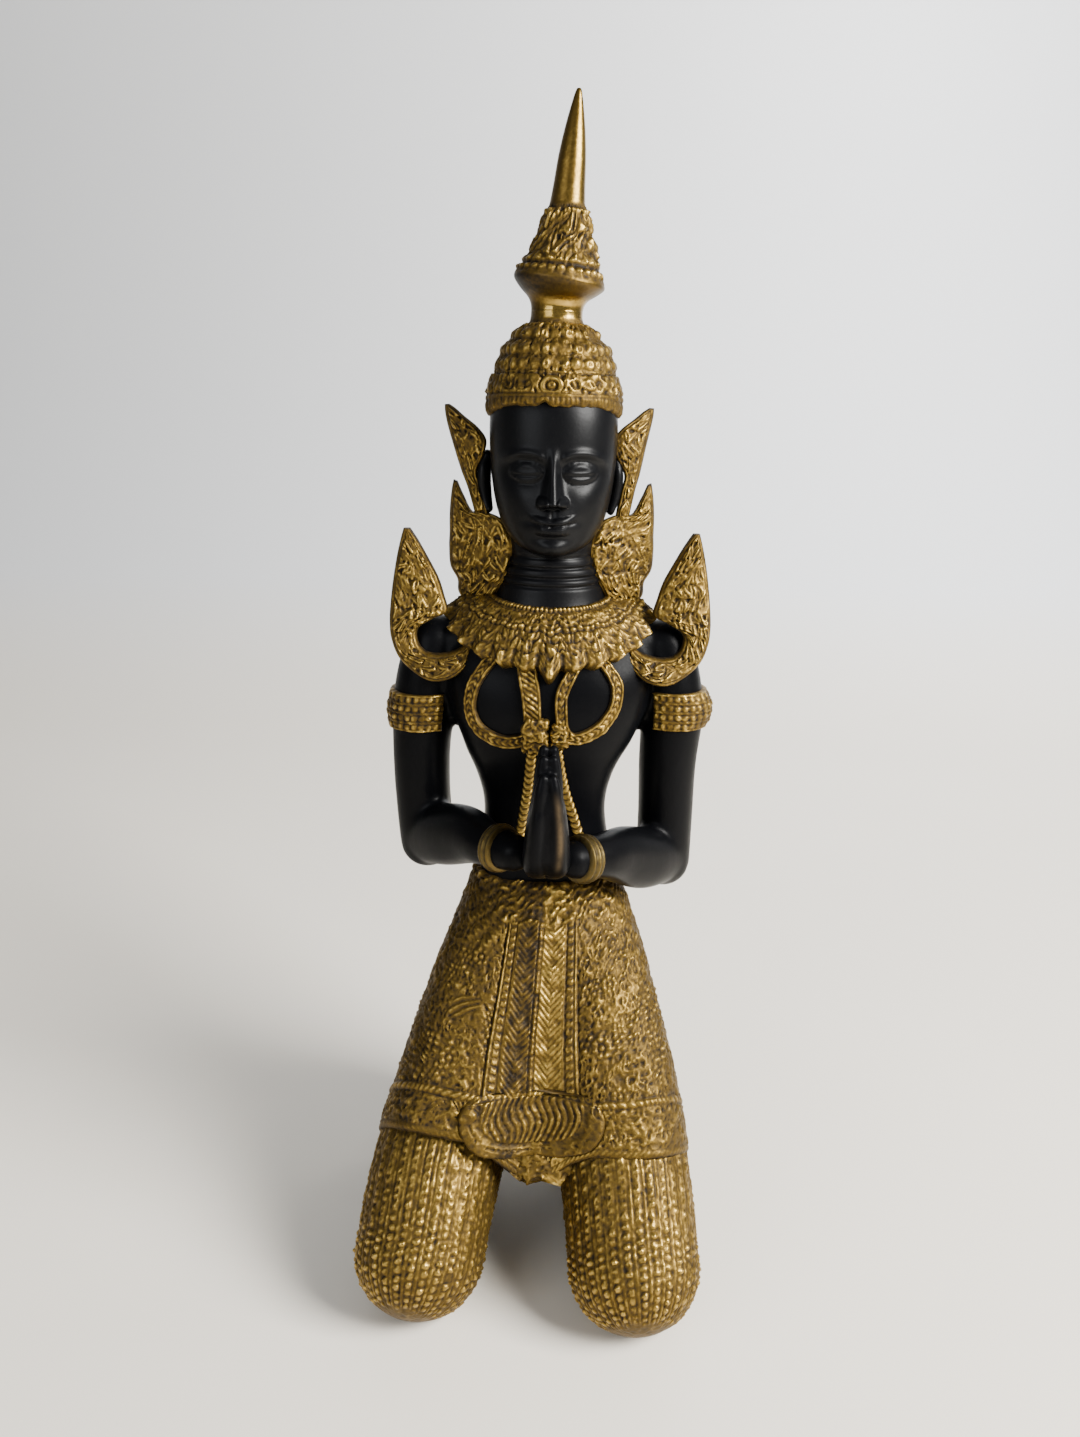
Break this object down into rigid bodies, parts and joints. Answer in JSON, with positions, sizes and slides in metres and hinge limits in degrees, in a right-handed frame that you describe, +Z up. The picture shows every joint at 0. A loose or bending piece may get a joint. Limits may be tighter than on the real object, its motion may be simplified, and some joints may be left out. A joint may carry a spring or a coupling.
{
  "type": "thepphanom figure",
  "caption": "Kneeling deva with pressed palms, tall pointed crown and flame-shaped ornaments, a hollow cast statue that stands on its knees, shins and toes.",
  "frame": {"origin": "on the ground plane, under the middle of the figure's bounding box", "axes": "+Z up through the crown, -Y the way the figure faces, +X to the right of someone who looks it in the face"},
  "size_m": [0.1661, 0.2013, 0.56],
  "materials": {
    "gilt": "antique gold over a dark brown wash, satin to half gloss, worn bright on the high places",
    "black_paint": "satin black paint, rubbed brown on the fingertips and the edges of the hands"
  },
  "bodies": {
    "root": {"thepphanom_figure": "gilt"}
  },
  "joints": []
}
